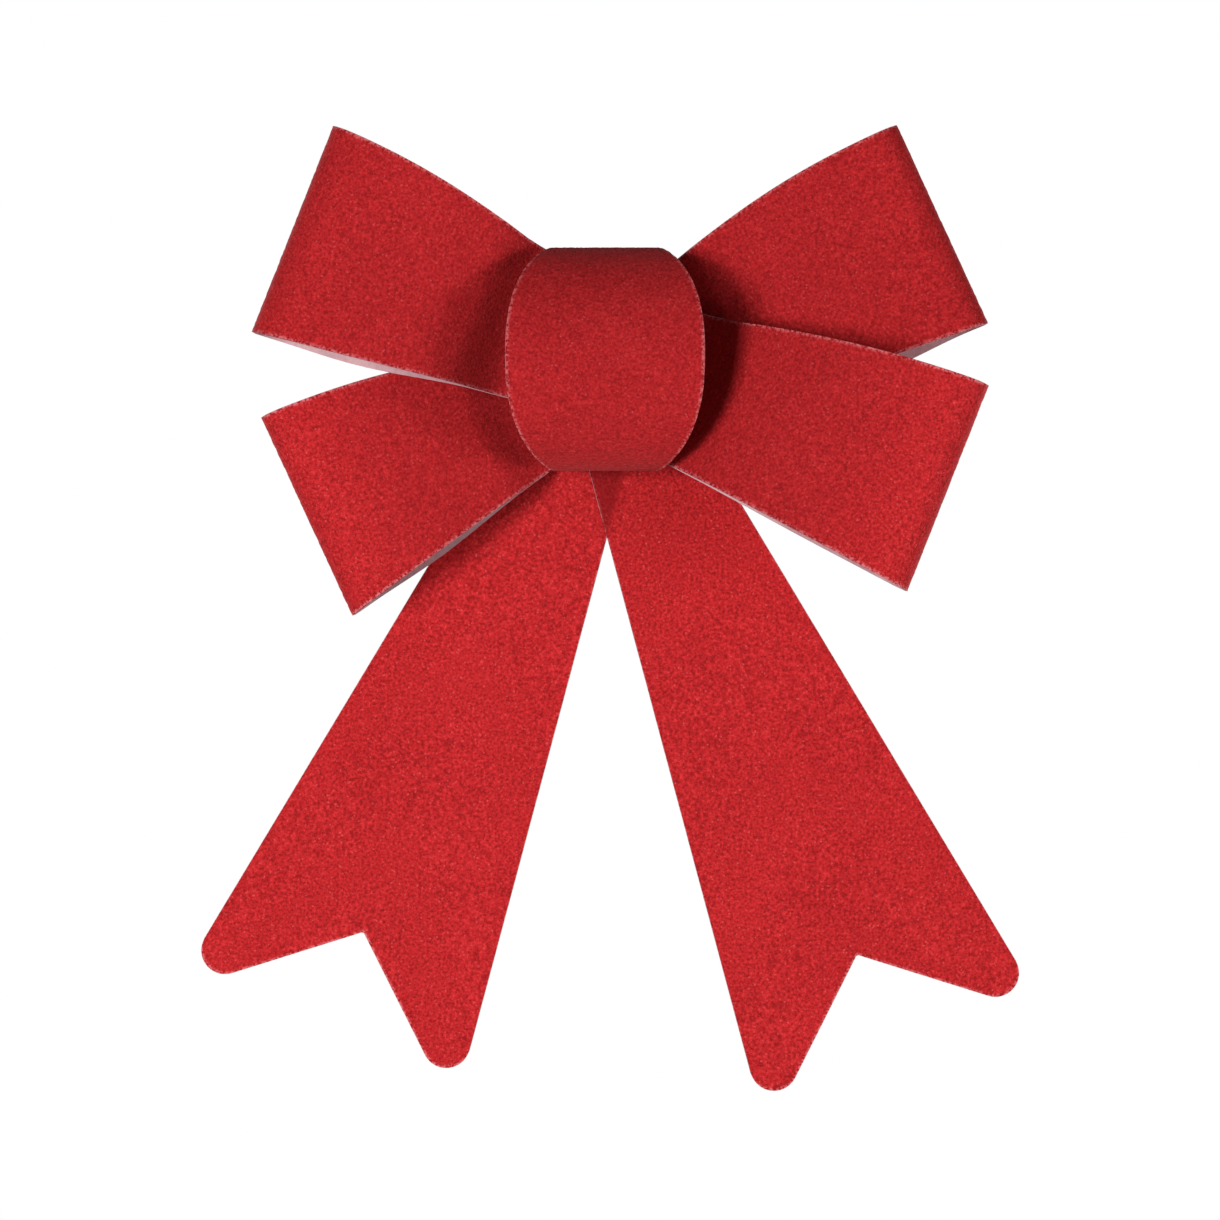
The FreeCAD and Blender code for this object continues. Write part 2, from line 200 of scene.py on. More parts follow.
@dataclass
class Sheet:
    """A thin sheet given by the grid of points on its flocked face.

    Attributes:
        face: Points of the flocked face, rows along the sheet by columns across it.
        normal: Unit normals of that face, which point away from the bare face.
        across: Unit directions across the sheet, from the first column to the last.
        ring: True where the last row joins the first.
        backing_shade: Painted shade from 0 to 1 that darkens the flock where other layers behind would keep
            light from coming through.
    """

    face: np.ndarray
    normal: np.ndarray
    across: np.ndarray
    ring: bool
    backing_shade: np.ndarray
    thickness: float = SHEET
    burr: float = 0.07 * MM
    pile: float = 0.055 * MM

    def edge_distance(self) -> np.ndarray:
        """Distance of each grid point from the nearest cut edge: the least over the sides.

        Returns:
            Distances, shaped like the grid.
        """
        steps = np.linalg.norm(np.diff(self.face, axis=1), axis=2)
        run = np.concatenate([np.zeros((len(steps), 1)), np.cumsum(steps, axis=1)], axis=1)
        nearest = np.minimum(run, run[:, -1:] - run)
        if not self.ring:
            rows = np.linalg.norm(np.diff(self.face, axis=0), axis=2)
            down = np.concatenate([np.zeros((1, rows.shape[1])), np.cumsum(rows, axis=0)], axis=0)
            nearest = np.minimum(nearest, np.minimum(down, down[-1:] - down))
        return nearest

    def points(self, seed: int) -> np.ndarray:
        """The flocked face with its uneven pile, then the bare face.

        The flocked face is moved out by pile times a random number. The bare face is the
        face less thickness times the normal, and the cutter's burr pushes its two long
        edges out, so that a thin light edge shows from in front.

        Args:
            seed: Seed of the random numbers.

        Returns:
            All points, flocked face first.
        """
        rows, columns = self.face.shape[:2]
        rough = np.random.default_rng(seed).uniform(-1.0, 1.0, (rows, columns, 1))
        flocked = self.face + self.normal * rough * self.pile
        bare = self.face - self.normal * self.thickness
        bare[:, 0] -= self.across[:, 0] * self.burr
        bare[:, -1] += self.across[:, -1] * self.burr
        return np.concatenate([flocked.reshape(-1, 3), bare.reshape(-1, 3)])

    def faces(self) -> tuple[np.ndarray, np.ndarray]:
        """Four-cornered faces of both sides and the cut edges, turned outwards.

        Returns:
            The corners of each face, and the side that each one belongs to.
        """
        rows, columns = self.face.shape[:2]
        index = np.arange(rows * columns).reshape(rows, columns)
        lower = np.vstack([index, index[:1]]) if self.ring else index
        a, b = lower[:-1, :-1], lower[1:, :-1]
        c, d = lower[1:, 1:], lower[:-1, 1:]
        back = rows * columns
        quads = [np.stack([a, b, c, d], -1).reshape(-1, 4)]
        quads.append(np.stack([a, d, c, b], -1).reshape(-1, 4) + back)
        sides = [np.full(len(quads[0]), Side.FLOCK.value), np.full(len(quads[1]), Side.BARE.value)]
        runs = [(lower[1:, 0], lower[:-1, 0]), (lower[:-1, -1], lower[1:, -1])]
        if not self.ring:
            runs += [(index[0, :-1], index[0, 1:]), (index[-1, 1:], index[-1, :-1])]
        for start, end in runs:
            quads.append(np.stack([start, end, end + back, start + back], -1))
            sides.append(np.full(len(start), Side.CUT.value))
        corners = np.concatenate(quads)
        along = self.face[1, :] - self.face[0, :]
        over = np.gradient(self.face[0], axis=0)
        if np.sum(np.cross(along, over) * self.normal[0]) < 0:
            corners = corners[:, ::-1]
        return corners, np.concatenate(sides)

    def piece(self, name: str, seed: int) -> bpy.types.Object:
        """The sheet as an object, with its points' distance from the cut edge and their painted backing
        shade.

        Args:
            name: Name of the piece.
            seed: Seed of its pile.

        Returns:
            The new object.
        """
        corners, sides = self.faces()
        made = mesh_piece(name, self.points(seed), corners, sides)
        for label, values in (("edge_distance", self.edge_distance()), ("backing_shade", self.backing_shade)):
            field = made.data.attributes.new(label, "FLOAT", "POINT")
            field.data.foreach_set("value", np.tile(values.reshape(-1), 2).astype(np.float32))
        return made


def mesh_piece(name: str, points: np.ndarray, corners: np.ndarray, sides: np.ndarray) -> bpy.types.Object:
    """Makes an object from arrays, smooth apart from its sharp edges.

    Args:
        name: Name of the piece.
        points: Places of the points.
        corners: Four points of each face.
        sides: Material slot of each face.

    Returns:
        The new object, linked to the scene.
    """
    mesh = bpy.data.meshes.new(name)
    mesh.from_pydata(points.tolist(), [], corners.tolist())
    for _ in Side:
        mesh.materials.append(None)
    mesh.polygons.foreach_set("material_index", sides.astype(np.int32))
    mesh.polygons.foreach_set("use_smooth", np.ones(len(corners), dtype=bool))
    mesh.set_sharp_from_angle(angle=SHARP)
    mesh.update()
    made = bpy.data.objects.new(name, mesh)
    bpy.context.scene.collection.objects.link(made)
    return made


def report(piece: bpy.types.Object) -> None:
    """Logs a piece's name and how many faces it has."""
    LOG.info("%s: %d faces", piece.name, len(piece.data.polygons))


# Shader graphs

class Value:
    """A shader socket that takes part in sums: each operator adds one Math node."""

    def __init__(self, graph: "Graph", socket: bpy.types.NodeSocket) -> None:
        """Keeps the socket and the graph that it belongs to."""
        self.graph, self.socket = graph, socket

    def maths(self, operation: str, *others: "Value | float") -> "Value":
        """This value and others through a Math node.

        Args:
            operation: The node's operation.
            others: Its further inputs.

        Returns:
            The node's result.
        """
        inputs = {0: self} | {i: other for i, other in enumerate(others, start=1)}
        return self.graph.node("ShaderNodeMath", {"operation": operation}, inputs)

    def __add__(self, other: "Value | float") -> "Value":
        """Sum."""
        return self.maths("ADD", other)

    def __sub__(self, other: "Value | float") -> "Value":
        """Difference."""
        return self.maths("SUBTRACT", other)

    def __mul__(self, other: "Value | float") -> "Value":
        """Product."""
        return self.maths("MULTIPLY", other)

    def __rsub__(self, other: float) -> "Value":
        """A number less this value."""
        return (self * -1.0) + other

    __radd__, __rmul__ = __add__, __mul__

    def between(self, low: float, high: float) -> "Value":
        """0 below low, 1 above high, and a soft step from one to the other."""
        settings = {"interpolation_type": "SMOOTHSTEP"}
        return self.graph.node("ShaderNodeMapRange", settings, {0: self, 1: low, 2: high})


class Graph:
    """The nodes of one material."""

    def __init__(self, name: str) -> None:
        """Starts a material with only a Principled shader and its output.

        Args:
            name: Name of the material.
        """
        self.material = bpy.data.materials.new(name)
        self.material.use_nodes = True
        self.tree = self.material.node_tree
        self.shader = next(n for n in self.tree.nodes if n.type == "BSDF_PRINCIPLED")

    def node(self, kind: str, settings: dict, inputs: dict, output: int | str = 0) -> Value:
        """Adds one node, with its settings first and then its inputs.

        Args:
            kind: Node type.
            settings: Properties of the node.
            inputs: Values or links, by the socket's name or number.
            output: The output that is wanted.

        Returns:
            That output.
        """
        made = self.tree.nodes.new(kind)
        for key, setting in settings.items():
            setattr(made, key, setting)
        for key, value in inputs.items():
            self.feed(made.inputs[key], value)
        return Value(self, made.outputs[output])

    def feed(self, socket: bpy.types.NodeSocket, value: "Value | float | tuple") -> None:
        """Links a value to a socket, or sets the socket's own number or colour.

        Args:
            socket: The socket to feed.
            value: What it gets.
        """
        if isinstance(value, Value):
            self.tree.links.new(value.socket, socket)
        else:
            socket.default_value = value

    def place(self) -> Value:
        """The point's place on the object."""
        return self.node("ShaderNodeTexCoord", {}, {}, "Object")

    def noise(self, size: float, detail: float = 2.0, rough: float = 0.5) -> Value:
        """Cloudy noise from 0 to 1 with lumps of about the given size in metres."""
        inputs = {"Vector": self.place(), "Scale": 1 / size, "Detail": detail, "Roughness": rough}
        return self.node("ShaderNodeTexNoise", {}, inputs, "Fac")

    def cells(self, size: float) -> Value:
        """Distance from the middle of the nearest of many cells, as a share of their size."""
        inputs = {"Vector": self.place(), "Scale": 1 / size}
        return self.node("ShaderNodeTexVoronoi", {}, inputs, "Distance")

    def attribute(self, name: str) -> Value:
        """A number stored on the mesh's points."""
        return self.node("ShaderNodeAttribute", {"attribute_name": name}, {}, "Fac")

    def mix(self, share: Value, first: "Value | tuple", second: "Value | tuple") -> Value:
        """The first colour blended into the second by share."""
        inputs = {0: share, 6: first, 7: second}
        return self.node("ShaderNodeMix", {"data_type": "RGBA"}, inputs, 2)

    def bump(self, height: Value, depth: float, strength: float) -> Value:
        """A normal bent by a height from 0 to 1 that stands for depth in metres."""
        inputs = {"Height": height, "Distance": depth, "Strength": strength}
        return self.node("ShaderNodeBump", {}, inputs, "Normal")

    def finish(self, **inputs: "Value | float | tuple") -> bpy.types.Material:
        """Feeds the shader's sockets and returns the material.

        Args:
            inputs: Values or links, by the socket's name with _ for each space.

        Returns:
            The finished material.
        """
        for name, value in inputs.items():
            self.feed(self.shader.inputs[name.replace("_", " ")], value)
        return self.material


Colour = tuple[float, float, float, float]


@dataclass(frozen=True)
class Flock:
    """Short red velvet pile: grainy, with bright and dark specks, thin at the cut edges."""

    name: str = "red_flock"
    mean: Colour = (0.45, 0.0150, 0.0180, 1)
    dark: Colour = (0.26, 0.0065, 0.0080, 1)
    bright: Colour = (0.62, 0.0300, 0.0330, 1)
    speck: Colour = (0.72, 0.1000, 0.1000, 1)
    worn: Colour = (0.66, 0.21, 0.22, 1)
    # Painted shade: the deep red that the colour is darkened to where other layers lie behind.
    backing_shade_colour: Colour = (0.16, 0.0030, 0.0045, 1)
    grain: float = 0.5 * MM
    tuft: float = 1.5 * MM
    shade: float = 16 * MM
    worn_edge: float = 0.75 * MM
    pile_depth: float = 0.35 * MM

    def material(self) -> bpy.types.Material:
        """Fine grain, tufts and broad brushed patches mixed into the colour and the bump.

        The sheet lets a little light through; painted shade stands in for this, darkening the colour where
        another layer backs it.

        Returns:
            The material.
        """
        g = Graph(self.name)
        grain = g.noise(self.grain, 3.0, 0.65)
        tuft = g.noise(self.tuft, 2.0, 0.6)
        broad = g.noise(self.shade, 2.0, 0.5)
        tone = grain * 0.80 + tuft * 0.13 + broad * 0.07
        colour = g.mix(tone.between(0.36, 0.54), self.dark, self.mean)
        colour = g.mix(tone.between(0.52, 0.66), colour, self.bright)
        spots = 1 - g.cells(self.grain * 1.7).between(0.12, 0.26)
        fleck = spots * g.noise(self.tuft * 0.7).between(0.42, 0.62)
        colour = g.mix(fleck * 0.5, colour, self.speck)
        thin = (1 - g.attribute("edge_distance").between(0.0, self.worn_edge)) * grain.between(0.42, 0.6)
        colour = g.mix(thin * 0.8, colour, self.worn)
        # Painted shade: the colour darkens by the mesh's backing shade, where other layers lie behind and
        # towards the middle of the bow.
        colour = g.mix(g.attribute("backing_shade") * 0.75, colour, self.backing_shade_colour)
        height = grain * 0.7 + tuft * 0.3
        return g.finish(
            Base_Color=colour, Roughness=grain * 0.12 + 0.84, Specular_IOR_Level=0.12,
            Sheen_Weight=0.10, Sheen_Roughness=0.40, Sheen_Tint=(1.0, 0.25, 0.25, 1),
            Normal=g.bump(height, self.pile_depth, 0.75),
        )


@dataclass(frozen=True)
class BareSheet:
    """The unflocked inner face: pinkish plastic, faintly mottled, with a soft gloss."""

    name: str = "bare_sheet"
    light: Colour = (0.55, 0.32, 0.34, 1)
    dull: Colour = (0.46, 0.25, 0.27, 1)
    ripple: float = 0.8 * MM
    patch: float = 7 * MM

    def material(self) -> bpy.types.Material:
        """A mottled pink, with the fine ripple of calendered sheet.

        Returns:
            The material.
        """
        g = Graph(self.name)
        ripple = g.noise(self.ripple, 3.0, 0.6)
        patch = g.noise(self.patch, 2.0)
        colour = g.mix((ripple * 0.5 + patch * 0.5).between(0.38, 0.62), self.dull, self.light)
        return g.finish(
            Base_Color=colour, Roughness=patch * 0.2 + 0.42, Specular_IOR_Level=0.4,
            Normal=g.bump(ripple, 0.05 * MM, 0.5),
        )


@dataclass(frozen=True)
class CutEdge:
    """The die-cut edge: pale plastic with red pile hanging over it in places."""

    name: str = "cut_edge"
    pale: Colour = (0.56, 0.32, 0.34, 1)
    stained: Colour = (0.32, 0.03, 0.04, 1)
    fibre: float = 0.45 * MM
    stretch: float = 6 * MM

    def material(self) -> bpy.types.Material:
        """Pale and stained stretches along the cut.

        Returns:
            The material.
        """
        g = Graph(self.name)
        fibre = g.noise(self.fibre, 3.0, 0.7)
        stretch = g.noise(self.stretch, 2.0)
        colour = g.mix((fibre * 0.6 + stretch * 0.4).between(0.44, 0.58), self.stained, self.pale)
        return g.finish(
            Base_Color=colour, Roughness=fibre * 0.2 + 0.6, Specular_IOR_Level=0.25,
            Normal=g.bump(fibre, 0.1 * MM, 0.5),
        )


@dataclass(frozen=True)
class StapleSteel:
    """Drawn and flattened wire: fine lengthwise scratches on a grey metal."""

    name: str = "staple_steel"
    bright: Colour = (0.74, 0.74, 0.75, 1)
    dull: Colour = (0.50, 0.49, 0.48, 1)
    scratch: float = 0.15 * MM
    tarnish: float = 2.5 * MM

    def material(self) -> bpy.types.Material:
        """Scratched and slightly tarnished steel.

        Returns:
            The material.
        """
        g = Graph(self.name)
        scratch = g.noise(self.scratch, 4.0, 0.7)
        tarnish = g.noise(self.tarnish, 2.0)
        colour = g.mix(tarnish.between(0.4, 0.65), self.bright, self.dull)
        return g.finish(
            Base_Color=colour, Metallic=1.0, Roughness=scratch * 0.25 + 0.2,
            Normal=g.bump(scratch, 0.02 * MM, 0.4),
        )


@dataclass(frozen=True)
class HotMelt:
    """Cloudy yellowish hot-melt glue with small bubbles."""

    name: str = "hot_melt"
    clear: Colour = (0.80, 0.72, 0.52, 1)
    cloudy: Colour = (0.90, 0.86, 0.74, 1)
    cloud: float = 1.2 * MM
    bubble: float = 0.6 * MM

    def material(self) -> bpy.types.Material:
        """Cloudy patches and bubbles.

        Returns:
            The material.
        """
        g = Graph(self.name)
        cloud = g.noise(self.cloud, 3.0)
        bubble = 1 - g.cells(self.bubble).between(0.1, 0.3)
        colour = g.mix(cloud.between(0.4, 0.6), self.clear, self.cloudy)
        return g.finish(
            Base_Color=colour, Roughness=cloud * 0.15 + 0.25, Specular_IOR_Level=0.45,
            Normal=g.bump(bubble + cloud, 0.06 * MM, 0.4),
        )


# The bow's pieces

@dataclass
class Dressing:
    """The materials that a cut sheet wears, in the order of its sides."""

    flock: bpy.types.Material
    bare: bpy.types.Material
    cut: bpy.types.Material

    def put_on(self, piece: bpy.types.Object, node: str) -> None:
        """Dresses a sheet piece, and lets it ride, replace its node and take the flock slot.

        Args:
            piece: The sheet piece.
            node: The CAD node that it stands for.
        """
        for side, material in zip(Side, (self.flock, self.bare, self.cut)):
            piece.data.materials[side.value] = material
        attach(piece, "root")
        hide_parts(node)
        report(piece)


@dataclass
class Loop:
    """One loop of a strip, as it was cut and folded by hand.

    Attributes:
        reach: How far it reaches from the middle of the strip.
        slip: How far its rear layer has slipped across, upwards.
        swell_top, swell_bottom: How far its long edges bow out between shoulder and fold.
        trim_top, trim_bottom: How much narrower its shoulder is cut on each edge.
        neck_top, neck_bottom: Half width left on each edge inside the band.
        end_backing_shade: How much painted shade darkens its folded end.
    """

    reach: float
    slip: float
    swell_top: float
    swell_bottom: float
    trim_top: float = 0.0
    trim_bottom: float = 0.0
    neck_top: float = 12.0 * MM
    neck_bottom: float = 12.0 * MM
    end_backing_shade: float = 0.0


@dataclass
class LoopStrip:
    """A strip folded to a loop each way and pinched flat under the knot.

    Attributes:
        node: The CAD node that it replaces.
        slope: Turn in the plane of the bow, in degrees anticlockwise from the front.
        lift: Height of its middle above the knot's.
        right, left: The two loops.
        nose: Radius of the folded ends.
        nose_depth: Depth of the middle of the folded ends, in front of the mount.
        bulge: Radius of the front layers.
        under: Radius of the rear layers.
        seed: Seed of its pile.
    """

    node: str
    slope: float
    lift: float
    right: Loop
    left: Loop
    nose: float
    nose_depth: float
    bulge: float
    under: float
    seed: int
    end_width: float = 38.1 * MM
    shoulder_width: float = 27.8 * MM
    shoulder_reach: float = 20 * MM
    neck_end: float = 8.6 * MM
    neck_open: float = 9.9 * MM
    pinch: float = 8 * MM
    step: float = 0.55 * MM
    ripple: float = 0.22 * MM
    wave_along: float = 23 * MM
    wave_across: float = 42 * MM
    crimp: float = 3.2 * MM
    crimp_start: float = 16 * MM
    crimp_end: float = 24.5 * MM
    # Painted shade over the middle of the strip, fading to each loop's own end value towards the fold.
    backing_shade_level: float = 0.34

    def half_section(self, reach: float, seat: float) -> np.ndarray:
        """Side view of one loop: a front arc, the folded end and a rear arc, all tangent.

        Args:
            reach: How far the loop reaches from the middle.
            seat: Depth of the back of the pinch.

        Returns:
            Points from the front of the pinch round to its back.
        """
        front = np.array([self.pinch, -(seat + 3 * SHEET)])
        back = np.array([self.pinch, -seat])
        middle = np.array([reach - self.nose, -self.nose_depth])
        front_centre = circle_centre(front, self.bulge, middle, self.bulge - self.nose)
        rear_centre = circle_centre(back, self.under, middle, self.under + self.nose)
        front_way = (middle - front_centre) / np.hypot(*(middle - front_centre))
        rear_way = (middle - rear_centre) / np.hypot(*(middle - rear_centre))
        front_touch = front_centre + front_way * self.bulge
        rear_touch = rear_centre + rear_way * self.under
        return np.vstack([
            arc(front_centre, front, front_touch, True),
            arc(middle, front_touch, rear_touch, True),
            arc(rear_centre, rear_touch, back, False),
        ])

    def section(self) -> np.ndarray:
        """Side view of the whole strip, anticlockwise, with its corners softened.

        Returns:
            The closed line.
        """
        seat = -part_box(self.node)[1][1]
        right = self.half_section(self.right.reach, seat)
        left = self.half_section(self.left.reach, seat)[::-1] * np.array([-1.0, 1.0])
        return softened(evenly(np.vstack([right, left]), self.step, True), 2)

    def half_width(self, u: np.ndarray, edge: int) -> np.ndarray:
        """Half the strip's width at u: a straight taper, gathered to a neck inside the band.

        The taper falls evenly from the fold to the shoulder and on. The gather begins where
        the edge's own place, u times the cosine of the slope less the width times its sine,
        comes as near to the middle of the bow as the band's side.

        Args:
            u: Place along the strip, from its middle.
            edge: 1 for the upper edge and -1 for the lower.

        Returns:
            Half widths, shaped like u.
        """
        reach = np.where(u > 0, self.right.reach, self.left.reach)
        loops = (self.right, self.left)
        trim = np.where(u > 0, *[loop.trim_top if edge > 0 else loop.trim_bottom for loop in loops])
        neck = np.where(u > 0, *[loop.neck_top if edge > 0 else loop.neck_bottom for loop in loops])
        drop = (self.end_width - self.shoulder_width) / 2 + trim
        straight = self.end_width / 2 - (reach - np.abs(u)) * drop / (reach - self.shoulder_reach)
        turn = math.radians(self.slope)
        sideways = np.abs(u * math.cos(turn) - edge * straight * math.sin(turn))
        widened = smooth_step(self.neck_end, self.neck_open, sideways)
        gathered = np.minimum(neck, straight)
        return gathered + (straight - gathered) * widened

    def sheet(self) -> Sheet:
        """The folded strip: each point of the side view carried across the strip's width.

        The rear layer slips sideways by the loop's slip times a bump that is 0 at the neck
        and at the fold. Faint ripples of the sheet are a product of two sines. Next to the
        knot the front layer is pressed back by crimp, and comes out again by a soft step.

        Returns:
            The sheet, turned and lifted into its place.
        """
        line = self.section()
        normal = outward(line, True)
        u, depth = line[:, 0], line[:, 1]
        share = np.linspace(-1.0, 1.0, round(self.end_width / self.step) + 1)
        reach = np.where(u > 0, self.right.reach, self.left.reach)
        upper, lower = self.half_width(u, 1), self.half_width(u, -1)
        travel = np.clip((np.abs(u) - self.shoulder_reach) / (reach - self.shoulder_reach), 0.0, 1.0)
        bump = np.sin(math.pi * travel) ** 2
        rear = smooth_step(-0.3, 0.3, normal[:, 1])
        slip = np.where(u > 0, self.right.slip, self.left.slip) * bump * rear
        swell = np.sin(math.pi * travel)
        top = upper + np.where(u > 0, self.right.swell_top, self.left.swell_top) * swell
        bottom = lower + np.where(u > 0, self.right.swell_bottom, self.left.swell_bottom) * swell
        v = np.where(share > 0, share * top[:, None], share * bottom[:, None]) + slip[:, None]
        along_wave = np.sin(u * 2 * math.pi / self.wave_along + self.seed)
        wave = along_wave[:, None] * np.sin(v * 2 * math.pi / self.wave_across + 0.7)
        fore = 1 - rear
        away = np.abs(u)
        dive = smooth_step(self.pinch, self.crimp_start, away) - smooth_step(
            self.crimp_start, self.crimp_end, away)
        depth = depth + self.crimp * dive * fore
        raised = self.ripple * wave * bump[:, None]
        turn = math.radians(self.slope)
        along = np.array([math.cos(turn), 0.0, math.sin(turn)])
        over = np.array([-math.sin(turn), 0.0, math.cos(turn)])
        outwards = normal[:, :1] * along + normal[:, 1:] * np.array([0.0, 1.0, 0.0])
        face = (
            u[:, None, None] * along + v[:, :, None] * over
            + depth[:, None, None] * np.array([0.0, 1.0, 0.0])
            + np.array([0.0, 0.0, self.lift]) + raised[:, :, None] * outwards[:, None]
        )
        shape = face.shape
        # Painted shade: darker near the knot, fading to each loop's end value towards the fold, so the upper
        # loops' ends stay darker than the lower ones.
        end_backing_shade = np.where(u > 0, self.right.end_backing_shade, self.left.end_backing_shade)
        outer = smooth_step(0.40, 0.95, travel)
        backing_shade = self.backing_shade_level + (end_backing_shade - self.backing_shade_level) * outer
        return Sheet(
            face, np.broadcast_to(outwards[:, None], shape), np.broadcast_to(over, shape), True,
            np.broadcast_to(backing_shade[:, None], v.shape),
        )

    def build(self, dressing: Dressing) -> bpy.types.Object:
        """Args:
            dressing: The materials of a cut sheet.

        Returns:
            The piece.
        """
        sheet = self.sheet()
        piece = sheet.piece(self.node.replace("strip", "ribbon"), self.seed)
        dressing.put_on(piece, self.node)
        line = self.section()
        length = line_length(line, True)
        widths = np.linalg.norm(sheet.face[:, -1] - sheet.face[:, 0], axis=1)
        float(widths.mean() * length)
        return piece


@dataclass
class Tail:
    """A flat tail that widens downwards to two rounded tips with a notch between.

    Attributes:
        node: The CAD node that it replaces.
        lean: Turn in the plane of the bow, in degrees anticlockwise from the front.
        drop: How much lower it sits than the other tail.
        seed: Seed of its pile.
        over: The tail that it lies on, if any.
        curl: How far its tips lift off the back, forwards.
    """

    node: str
    lean: float
    drop: float
    seed: int
    over: "Tail | None" = None
    curl: float = 0.9 * MM
    rise: float = 8 * MM
    top_width: float = 14.4 * MM
    end_width: float = 53.8 * MM
    reach: float = 132.1 * MM
    notch_reach: float = 109.2 * MM
    tip_radius: float = 4.2 * MM
    step: float = 0.55 * MM

    def tip(self) -> np.ndarray:
        """Lower outline of the right half: side, rounded tip, and the way up to the notch.

        The tip's circle touches the side and the notch line, so its middle lies on the line
        that halves the corner, tip_radius over the sine of half the corner away from it.

        Returns:
            Points from the end of the straight side to the notch.
        """
        corner = np.array([self.end_width / 2, -self.reach])
        side = np.array([self.top_width / 2, self.rise]) - corner
        inner = np.array([0.0, -self.notch_reach]) - corner
        side_way, inner_way = side / np.hypot(*side), inner / np.hypot(*inner)
        halfway = side_way + inner_way
        halfway /= np.hypot(*halfway)
        half_angle = math.acos(float(side_way @ inner_way)) / 2
        middle = corner + halfway * self.tip_radius / math.sin(half_angle)
        touch = self.tip_radius / math.tan(half_angle)
        rounding = arc(middle, corner + side_way * touch, corner + inner_way * touch, False)
        return np.vstack([rounding, [[0.0, -self.notch_reach]]])

    def sheet(self) -> Sheet:
        """The flat tail: straight lines from its top edge down to its lower outline.

        The lines fan out from the point where its two sides would meet. Each point is the
        line's top plus a share of the way down. The tips curl forwards by curl times the
        square of that share, and the sheet cups faintly from side to side.

        Returns:
            The sheet, leant into its place.
        """
        right = self.tip()
        outline = np.vstack([right[:-1] * np.array([-1.0, 1.0]), right[::-1]])
        low = evenly(outline, self.step, False)
        slope = (self.end_width - self.top_width) / 2 / (self.reach + self.rise)
        apex = np.array([0.0, self.rise + self.top_width / 2 / slope])
        high = apex + (low - apex) * ((self.rise - apex[1]) / (low[:, 1] - apex[1]))[:, None]
        share = np.linspace(0.0, 1.0, round((self.reach + self.rise) / self.step) + 1)[:, None, None]
        flat = high + (low - high) * share
        flat[:, :, 1] -= self.drop
        turn = math.radians(self.lean)
        x = flat[:, :, 0] * math.cos(turn) - flat[:, :, 1] * math.sin(turn)
        z = flat[:, :, 0] * math.sin(turn) + flat[:, :, 1] * math.cos(turn)
        cup = 0.35 * MM * np.cos(flat[:, :, 0] * math.pi / self.end_width) * share[:, :, 0]
        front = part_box(self.node)[0][1]
        y = front - self.curl * share[:, :, 0] ** 2 - cup
        normal = np.broadcast_to([0.0, -1.0, 0.0], x.shape + (3,))
        over = np.broadcast_to([math.cos(turn), 0.0, math.sin(turn)], x.shape + (3,))
        # Painted shade: the tail is darker where it lies over the other tail.
        backing_shade = np.zeros(x.shape)
        if self.over:
            backing_shade = 0.85 * smooth_step(-1.0 * MM, 0.8 * MM, self.over.inside(x, z))
        return Sheet(np.stack([x, y, z], axis=2), normal, over, False, backing_shade)

    def inside(self, x: np.ndarray, z: np.ndarray) -> np.ndarray:
        """How far points lie inside this tail's long side that faces the other tail.

        The distance is the point less the side's top, times the side's normal.

        Args:
            x: Places to the right.
            z: Heights.

        Returns:
            Distances, above 0 where the tail is.
        """
        turn, way = math.radians(self.lean), -math.copysign(1.0, self.lean)
        top = np.array([way * self.top_width / 2, self.rise - self.drop])
        end = np.array([way * self.end_width / 2, -self.reach - self.drop])
        side = (end - top) / np.hypot(*(end - top))
        local_x = x * math.cos(turn) + z * math.sin(turn)
        local_z = -x * math.sin(turn) + z * math.cos(turn)
        return way * ((local_x - top[0]) * side[1] - (local_z - top[1]) * side[0])

    def build(self, dressing: Dressing) -> bpy.types.Object:
        """Args:
            dressing: The materials of a cut sheet.

        Returns:
            The piece.
        """
        piece = self.sheet().piece(self.node + "_ribbon", self.seed)
        dressing.put_on(piece, self.node)
        return piece


